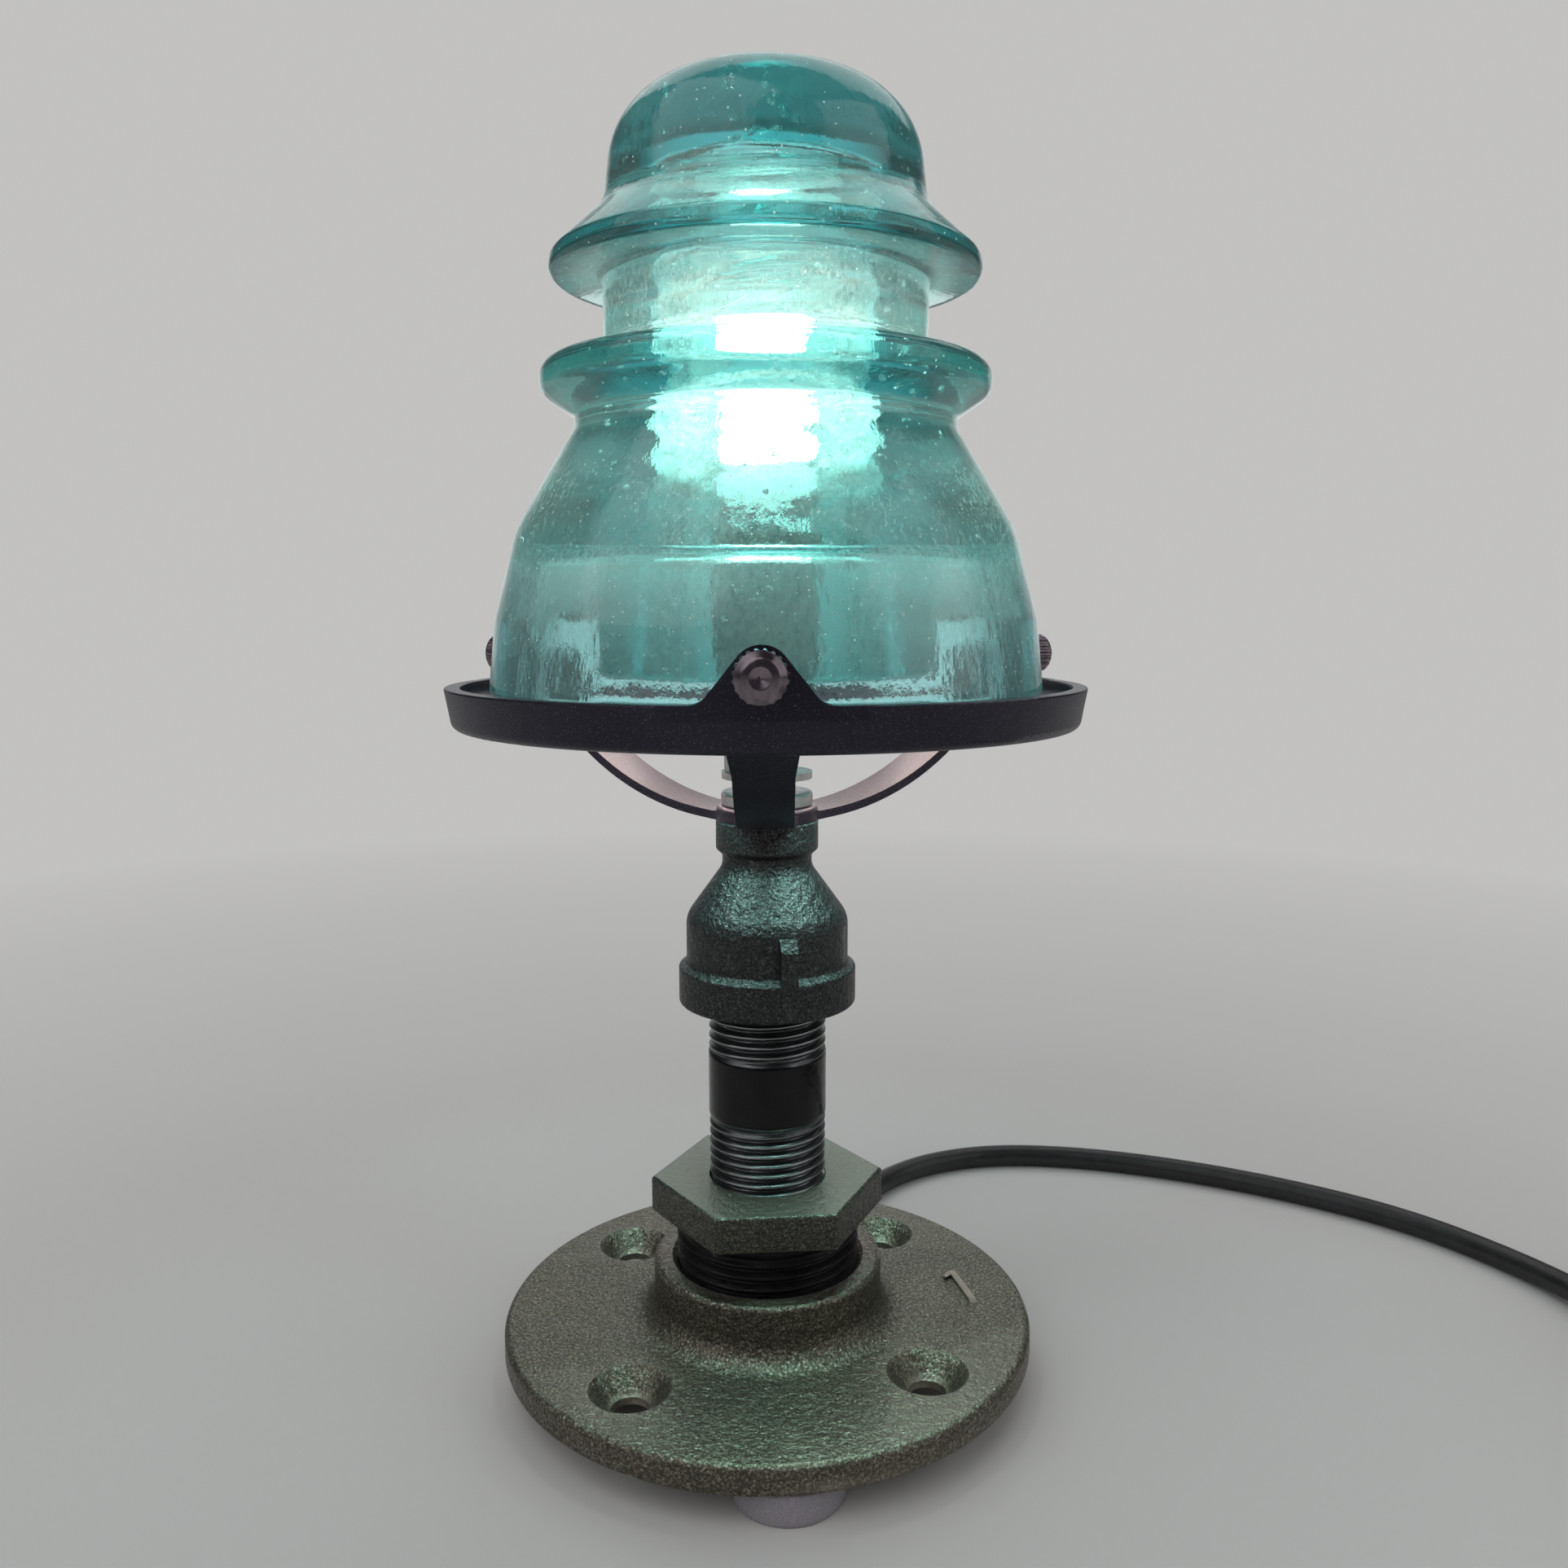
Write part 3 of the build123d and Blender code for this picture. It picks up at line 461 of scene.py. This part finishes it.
run_floor = [
    (2.1, 5.6), (6.5, 17.8), (11.5, 34), (16.5, 51), (24, 67.5), (37, 79.5), (55, 85.5), (76, 84), (99, 77),
    (122, 65.5), (143, 50), (157.1, 30.6),
]
run_points = [(0, 0, 14.9), (0, 0, 8.9)] + [(x, y, CORD_R) for x, y in run_floor]
run_points += [(run_end_x + 0.2, 9.7, LOWER), (run_end_x, COIL[1] + 4, LOWER)]
coil_points = [coil_control(i / STEPS) for i in range(1, STEPS * (INWARD + 1 + OUTWARD))]
tail_points = [
    (tail_x, COIL[1] - 4, UPPER), (tail_x - 0.2, COIL[1] - 22, UPPER), (tail_x, tail_y, 9.1),
    (tail_x + BEND * sin30, tail_y - BEND * cos30, 7.3),
    (switch_x - BEND, switch_y, SWITCH_Z), (switch_x, switch_y, SWITCH_Z),
]
end_points = [
    (switch_end, switch_y, SWITCH_Z), (switch_end + BEND, switch_y, SWITCH_Z),
    (switch_end + BEND * (1 + cos30), switch_y + BEND * sin30, 5.4),
    (plug_x, plug_y - BEND, PLUG_Z), (plug_x, plug_y, PLUG_Z),
]


def cord_piece(name, points):
    curve = bpy.data.curves.new(name, "CURVE")
    curve.dimensions = "3D"
    curve.bevel_depth = CORD_R * MM
    curve.bevel_resolution = 6
    curve.resolution_u = 10
    curve.use_fill_caps = True
    spline = curve.splines.new("NURBS")
    spline.points.add(len(points) - 1)
    for point, place in zip(spline.points, points):
        point.co = (*[c * MM for c in place], 1)
    spline.order_u = 3
    spline.use_endpoint_u = True
    made = link(bpy.data.objects.new(name, curve))
    made.data.materials.append(cord_jacket)
    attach(made, "stand")
    return made


main_cord = cord_piece("main_cord", run_points + coil_points + tail_points)
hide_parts("cord_run", "cord_coil", "cord_tail")
end_cord = cord_piece("end_cord", end_points)
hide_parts("cord_end")


# Turned forms, in millimetres

ARC_STEP = 0.5


def rounded(corners, step):
    """Points along an outline of (radius, height, fillet) corners, fillets as arcs."""
    points = []
    for i, (x, y, fillet) in enumerate(corners):
        here = Vector((x, y))
        if fillet == 0 or i in (0, len(corners) - 1):
            points.append(here)
            continue
        into = (Vector(corners[i - 1][:2]) - here).normalized()
        out = (Vector(corners[i + 1][:2]) - here).normalized()
        half = into.angle(out) / 2
        reach = fillet / math.tan(half)
        centre = here + (into + out).normalized() * fillet / math.sin(half)
        first, last = here + into * reach - centre, here + out * reach - centre
        turn = first.angle_signed(last)
        count = max(3, int(abs(turn) * fillet / ARC_STEP) + 2)
        for k in range(count + 1):
            points.append(centre + Matrix.Rotation(-turn * k / count, 2) @ first)
    spaced = [points[0]]
    for point in points[1:]:
        gap = point - spaced[-1]
        parts = max(1, math.ceil(gap.length / step))
        spaced += [spaced[-1] + gap * k / parts for k in range(1, parts + 1)]
    return spaced


def turned(outline, turns, radius_at=None, middle=(0, 0), closed=False):
    """Points and faces of a turned outline; radius_at changes a radius by height and angle."""
    vertices, faces, rings = [], [], []
    for r, z in outline:
        if r < 1e-6:
            rings.append([len(vertices)])
            vertices.append((*middle, z))
            continue
        rings.append(list(range(len(vertices), len(vertices) + turns)))
        for k in range(turns):
            a = 2 * math.pi * k / turns
            wall = radius_at(r, z, a) if radius_at else r
            vertices.append((middle[0] + wall * math.cos(a), middle[1] + wall * math.sin(a), z))
    pairs = list(zip(rings, rings[1:]))
    if closed:
        pairs.append((rings[-1], rings[0]))
    for one, two in pairs:
        for k in range(turns):
            j = (k + 1) % turns
            if len(one) == 1:
                faces.append((one[0], two[j], two[k]))
            elif len(two) == 1:
                faces.append((one[k], one[j], two[0]))
            else:
                faces.append((one[k], one[j], two[j], two[k]))
    return vertices, faces


def face_out(piece):
    """Make the normals of a closed piece point outwards."""
    work = bmesh.new()
    work.from_mesh(piece.data)
    bmesh.ops.recalc_face_normals(work, faces=work.faces)
    work.to_mesh(piece.data)
    work.free()
    piece.data.shade_smooth()
    return piece


# Glass shade

GLASS_Z, GLASS_TOP = 124.25, 223.85
MOUTH_Z, HOLE_TOP = 127.65, 210.25
crown = [(0, GLASS_TOP, 0), (24.7, GLASS_TOP, 14), (27.1, 204.05, 8)]
upper_lip = [(35.9, 195.95, 1.6), (36.3, 192.95, 1.3), (27.3, 193.45, 1.2)]
lower_lip = [(27.3, 181.45, 2), (38, 178.75, 2.4), (38, 174.55, 2.6), (32.35, 170.75, 1.2)]
skirt = [(32.25, 168.85, 4), (42.3, 152.05, 18), (46.3, 136.85, 0), (47.6, GLASS_Z, 1.4)]
skirt_hollow = [(41.6, GLASS_Z, 1.4), (38.4, 147.25, 3), (30, 147.25, 3)]
inner_skirt = [(29.4, MOUTH_Z, 1.6), (16, MOUTH_Z, 1.2)]
pin_hole = [(13.5, 151.25, 0), (12.5, HOLE_TOP, 5), (0, HOLE_TOP, 0)]
glass_outline = rounded(crown + upper_lip + lower_lip + skirt + skirt_hollow + inner_skirt + pin_hole, 0.9)
PIN_LOW, PIN_HIGH = 148, 207
PIN_PITCH, PIN_DEPTH = 6.35, 1.15


def pin_thread(r, z, a):
    """Coarse rounded thread in the pin hole."""
    if r > 15 or not PIN_LOW < z < PIN_HIGH:
        return r
    fade = min(1, (z - PIN_LOW) / 5, (PIN_HIGH - z) / 3)
    wave = math.cos(2 * math.pi * (z / PIN_PITCH - a / (2 * math.pi)))
    return r - PIN_DEPTH * fade * (1 - abs(wave) ** 0.7 * (1 if wave > 0 else -1)) / 2


glass = mesh_object("glass_shade", *turned(glass_outline, 168, pin_thread))


SEEDS, SEED_SIZES = 420, (0.16, 0.2, 0.25, 0.3, 0.42)
SEED_LOW, SEED_HIGH = 128, 221
# Above each height, the least and the greatest radius that lie inside the glass
SEED_ROOMS = (212, (1, 20)), (197, (14.5, 23.8)), (181, (15, 26)), (150, (15.5, 30.5))
INNER_SKIRT_ROOM, OUTER_SKIRT_ROOM = (17.5, 28), (42.8, 43.6)
CROWN_ROUND_Z, CROWN_ROUND_R = 215, 16


def seed_room(z):
    """Least and greatest radius for a bubble at a height, inside the glass."""
    for height, room in SEED_ROOMS:
        if z > height:
            return room
    return INNER_SKIRT_ROOM if random.random() < 0.25 else OUTER_SKIRT_ROOM


def add_seeds(piece, count):
    """Small bubbles: cavities whose walls face inwards, between the outside and the hollows."""
    ball = bmesh.new()
    bmesh.ops.create_icosphere(ball, subdivisions=2, radius=1)
    points = [v.co.copy() for v in ball.verts]
    walls = [[v.index for v in reversed(f.verts)] for f in ball.faces]
    ball.free()
    vertices, faces = [], []
    while len(faces) < count * len(walls):
        z = random.uniform(SEED_LOW, SEED_HIGH)
        angle = random.uniform(0, 2 * math.pi)
        r = random.uniform(*seed_room(z))
        if z > CROWN_ROUND_Z and r > CROWN_ROUND_R:
            continue
        size = random.choice(SEED_SIZES)
        tall = random.uniform(0.8, 1.8)
        base = len(vertices)
        x, y = r * math.cos(angle), r * math.sin(angle)
        vertices += [(x + p.x * size, y + p.y * size, z + p.z * size * tall) for p in points]
        faces += [tuple(base + k for k in wall) for wall in walls]
    seeds = bpy.data.meshes.new("seeds")
    seeds.from_pydata([tuple(c * MM for c in v) for v in vertices], [], faces)
    work = bmesh.new()
    work.from_mesh(piece.data)
    bmesh.ops.recalc_face_normals(work, faces=work.faces)
    work.from_mesh(seeds)
    work.to_mesh(piece.data)
    work.free()
    bpy.data.meshes.remove(seeds)
    piece.data.shade_smooth()


add_seeds(glass, SEEDS)
glass.data.materials.append(aqua_glass)
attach(glass, "glass")
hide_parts("glass_insulator")


# Pipe threads

NIPPLE_LOW, BARE_LOW, BARE_HIGH = 27.1, 48.35, 59.65
NIPPLE_BORE, NIPPLE_R = 7.9, 10.65
HALF_INCH_THREAD = dict(crest=10.57, depth=1.05, pitch=1.814)
BUSHING_LOW, HEAD_LOW, BUSHING_HIGH = 11.5, 28.5, 29.9
BUSHING_BORE, CASTING_BORE_MAX = 12.2, 15.0
ONE_INCH_THREAD = dict(crest=16.7, depth=1.3, pitch=2.209)


def threaded(z, a, crest, depth, pitch, low, high):
    """Radius of a cut thread that runs out at both ends."""
    fade = max(0.0, min(1.0, (z - low) / (pitch * 0.7), (high - z) / (pitch * 1.2)))
    phase = (z / pitch - a / (2 * math.pi)) % 1
    groove = min(1.0, max(0.0, 1.12 - abs(phase - 0.5) * 2 * 1.25))
    return crest - depth * fade * groove


def nipple_radius(r, z, a):
    """Half inch pipe thread at both ends of the nipple, and the bare pipe between."""
    if r < 9:
        return r
    if z < BARE_LOW:
        return threaded(z, a, low=26.0, high=BARE_LOW, **HALF_INCH_THREAD)
    if z > BARE_HIGH:
        return threaded(z, a, low=BARE_HIGH, high=79.0, **HALF_INCH_THREAD)
    return NIPPLE_R


def bushing_radius(r, z, a):
    """One inch pipe thread."""
    return threaded(z, a, low=9.0, high=28.4, **ONE_INCH_THREAD) if r > 13 else r


def rows(start, count, step=0.2):
    return [start + step * k for k in range(count)]


def threaded_piece(name, bore, r, heights, top, turns, radius_at):
    """A turned sleeve: its wall follows radius_at over the heights."""
    wall = [Vector((r, z)) for z in heights]
    outline = [Vector((bore, heights[0]))] + wall + [Vector(corner) for corner in top]
    return face_out(mesh_object(name, *turned(outline, turns, radius_at, closed=True)))


bare_heights = [BARE_LOW, BARE_LOW + 0.07] + rows(BARE_LOW + 0.55, 11, 1) + [BARE_HIGH - 0.07, BARE_HIGH]
nipple_heights = rows(NIPPLE_LOW, 106) + bare_heights + rows(BARE_HIGH + 0.1, 91)
nipple_top = [(NIPPLE_BORE, nipple_heights[-1])]
nipple = threaded_piece(
    "nipple_threads", NIPPLE_BORE, NIPPLE_R, nipple_heights, nipple_top, 128, nipple_radius,
)
nipple.data.materials.append(cut_thread)
nipple.data.materials.append(pipe_lacquer)
# Lacquer on the bare pipe between the threads
for face in nipple.data.polygons:
    if BARE_LOW + 0.05 < face.center.z / MM < BARE_HIGH - 0.05:
        face.material_index = 1
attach(nipple, "stand")
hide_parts("pipe_nipple")

black_thread = lacquer_look("black_thread", 0.28)


def bushing():
    """The casting's head as the solid has it, over a thread of its own."""
    head = link(bpy.data.objects.new("bushing_cast", nodes["hex_bushing"].data.copy()))
    work = bmesh.new()
    work.from_mesh(head.data)
    solid_thread = []
    for face in work.faces:
        top = max(v.co.z for v in face.verts)
        reach = max(v.co.xy.length for v in face.verts)
        if top < HEAD_LOW * MM and reach > CASTING_BORE_MAX * MM:
            solid_thread.append(face)
    bmesh.ops.delete(work, geom=solid_thread, context="FACES")
    work.to_mesh(head.data)
    work.free()
    head.data.materials.clear()
    head.data.materials.append(bushing_iron)
    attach(head, "stand")

    crest = ONE_INCH_THREAD["crest"]
    heights = rows(BUSHING_LOW, 85)
    neck = [(crest, HEAD_LOW), (crest, BUSHING_HIGH), (BUSHING_BORE, BUSHING_HIGH)]
    thread = threaded_piece("bushing_thread", BUSHING_BORE, crest, heights, neck, 144, bushing_radius)
    thread.data.materials.append(black_thread)
    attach(thread, "stand")
    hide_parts("hex_bushing")
    return head, thread


bushing_pieces = bushing()


# Felt pads

FOOT_CIRCLE, FIRST_FOOT = 38.5, 5.5


def felt_edge(r, z, a):
    """Frayed a little round the side."""
    return r + (random.uniform(-0.12, 0.02) if r > 9 else 0)


def felt_pads():
    section = [
        (0, 0.0), (3, 0.0), (6, 0.0), (8, 0.0), (8.9, 0.0),
        (9.2, 0.4), (9.25, 1.6), (9.22, 2.8), (9.25, 4.0), (9.2, 5.1), (8.9, 5.45), (6, 5.45), (0, 5.45),
    ]
    vertices, faces = [], []
    for foot in range(4):
        a = math.radians(FIRST_FOOT + 90 * foot)
        middle = (FOOT_CIRCLE * math.cos(a), FOOT_CIRCLE * math.sin(a))
        points, walls = turned(section, 72, felt_edge, middle)
        faces += [tuple(len(vertices) + k for k in wall) for wall in walls]
        vertices += points
    pads = face_out(mesh_object("felt_pads", vertices, faces))
    pads.data.materials.append(felt)
    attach(pads, "stand")
    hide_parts("felt_feet")


felt_pads()


# Raised figure on the flange

FIGURE_X, FIGURE_Y = 36.9, 5.6
FIGURE_LOW, FIGURE_HIGH = 10.45, 11.05
FIGURE_TURN, FIGURE_DRAFT = 14, 0.86


def figure_one():
    """A plain raised 1, cast on the flange's top, with drafted sides."""
    foot = [(-0.75, -6.2), (0.75, -6.2)]
    head = [(0.75, 6.2), (-0.4, 6.2), (-2.4, 4.6), (-2.4, 3.5), (-0.75, 4.4)]
    outline = foot + head
    turn = Matrix.Rotation(math.radians(FIGURE_TURN), 2)
    vertices = []
    for size, z in ((1.0, FIGURE_LOW), (FIGURE_DRAFT, FIGURE_HIGH)):
        for corner in outline:
            p = turn @ (Vector(corner) * size)
            vertices.append((FIGURE_X + p.x, FIGURE_Y + p.y, z))
    n = len(outline)
    faces = [tuple(range(n, 2 * n)), tuple(reversed(range(n)))]
    faces += [(k, (k + 1) % n, n + (k + 1) % n, n + k) for k in range(n)]
    mark = face_out(mesh_object("cast_figure", vertices, faces))
    mark.data.shade_flat()
    mark.data.materials.append(flange_iron)
    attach(mark, "stand")


figure_one()


# Finishes for the nodes that stay as they are

for material, *names in (
    (flange_iron, "floor_flange"),
    (fitting_iron, "bell_reducer"),
    (ring_enamel, "shade_fitter"),
    (nickel_with_painted_reflection, "thumb_screw_front", "thumb_screw_left", "thumb_screw_right"),
    (zinc, "lamp_tube", "lock_nut", "socket_bracket", "bracket_screw", "bulb_tip", "switch_screws"),
    (brass, "terminal_screws", "screw_shell", "centre_contact", "plug_blades"),
    (phenolic, "socket_body"),
    (nickel, "bulb_cap"),
    (collar_with_painted_glow, "bulb_collar"),
    (bulb_glow, "bulb_cover"),
    (cord_jacket, "cord_riser"),
    (lead_plastic, "socket_leads"),
    (black_plastic, "cord_grommet", "coil_tie", "switch_base", "switch_cover", "switch_rocker", "plug_body"),
):
    for name in names:
        materials = nodes[name].data.materials
        materials.clear()
        materials.append(material)


# Floor, background and lights

PALE = (0.54, 0.535, 0.53)
FADE_FROM, FADE_TO = 0.16, 0.6


def plain_floor():
    """Pale floor that takes the object's shadow and turns into the plain background further out."""
    floor = link(bpy.data.objects.new("floor", bpy.data.meshes.new("floor")))
    work = bmesh.new()
    bmesh.ops.create_grid(work, x_segments=1, y_segments=1, size=6)
    work.to_mesh(floor.data)
    work.free()
    look = Look("pale_floor", roughness=0.8)
    look.colour(look.drift(look.noise(3.0), (0.56, 0.555, 0.545), (0.58, 0.575, 0.565)))
    glow = look.node("Emission", Color=(*PALE, 1))
    far = look.span(look.vector_maths("LENGTH", look.place), FADE_FROM, FADE_TO, 0.0, 1.0)
    seen = look.node("LightPath").outputs["Is Camera Ray"]
    surface = look.mix_shaders(look.product(far, seen), look.shader.outputs[0], glow.outputs[0])
    look.join(surface, look.tree.nodes["Material Output"].inputs["Surface"])
    floor.data.materials.append(look.mat)


def studio():
    """Pale background; what gloss and glass see is pale behind the lamp and dim at its sides and front."""
    world = bpy.data.worlds.new("studio")
    scene.world = world
    world.use_nodes = True
    tree = Nodes(world.node_tree)
    sky = world.node_tree.nodes["Background"]
    sky.inputs["Color"].default_value = (0.80, 0.80, 0.80, 1)
    sky.inputs["Strength"].default_value = 0.38
    way = tree.node("SeparateXYZ")
    tree.join(tree.node("TexCoord").outputs["Generated"], way.inputs[0])
    room = tree.node("Background", Color=(0.98, 0.99, 1.0, 1))
    tree.join(tree.span(way.outputs["Y"], 0.80, 0.99, 0.05, 0.92), room.inputs["Strength"])
    backdrop = tree.node("Background", Color=(*PALE, 1))
    path = tree.node("LightPath").outputs
    bent = tree.maths("MAXIMUM", path["Is Glossy Ray"], path["Is Transmission Ray"])
    unseen = tree.mix_shaders(bent, sky.outputs[0], room.outputs[0])
    surface = tree.mix_shaders(path["Is Camera Ray"], unseen, backdrop.outputs[0])
    tree.join(surface, world.node_tree.nodes["World Output"].inputs["Surface"])


def area_light(name, place, aim, size, power, colour=(1, 1, 1)):
    light = bpy.data.lights.new(name, "AREA")
    light.shape = "RECTANGLE"
    light.size, light.size_y = size
    light.energy = power
    light.color = colour
    obj = link(bpy.data.objects.new(name, light))
    obj.location = place
    obj.rotation_euler = (Vector(aim) - Vector(place)).to_track_quat("-Z", "Y").to_euler()
    return obj


def light_only(lamp, group, *pieces):
    """Let a lamp light these pieces alone, unseen by the camera."""
    lamp.visible_camera = False
    lamp.light_linking.receiver_collection = bpy.data.collections.new(group)
    for piece in pieces:
        lamp.light_linking.receiver_collection.objects.link(piece)


plain_floor()
studio()
LAMP_MIDDLE = (0, 0, 0.1)
area_light("key", (-0.75, -0.6, 1.1), LAMP_MIDDLE, (1.6, 1.6), 7.5)
area_light("fill", (1.15, -0.4, 0.75), LAMP_MIDDLE, (1.2, 1.2), 3.2)
area_light("top", (0.1, 0.7, 1.2), LAMP_MIDDLE, (1.6, 1.0), 4.5)
# The teal light that the shade throws on the stem, and the bulb's warm light on the ring and its arms
spill = area_light(
    "spill", (0.004, -0.004, 0.1225), (0.004, -0.004, 0), (0.06, 0.06), 0.17, colour=(0.52, 0.95, 0.84),
)
stem_iron = (nodes["bell_reducer"], nodes["floor_flange"], nipple, *bushing_pieces)
light_only(spill, "lit_by_the_shade", *stem_iron)
glow = area_light("glow", (0, 0, 0.1245), (0, 0, 0), (0.075, 0.075), 0.13, colour=(1.0, 0.80, 0.66))
light_only(glow, "lit_by_the_bulb", nodes["shade_fitter"])
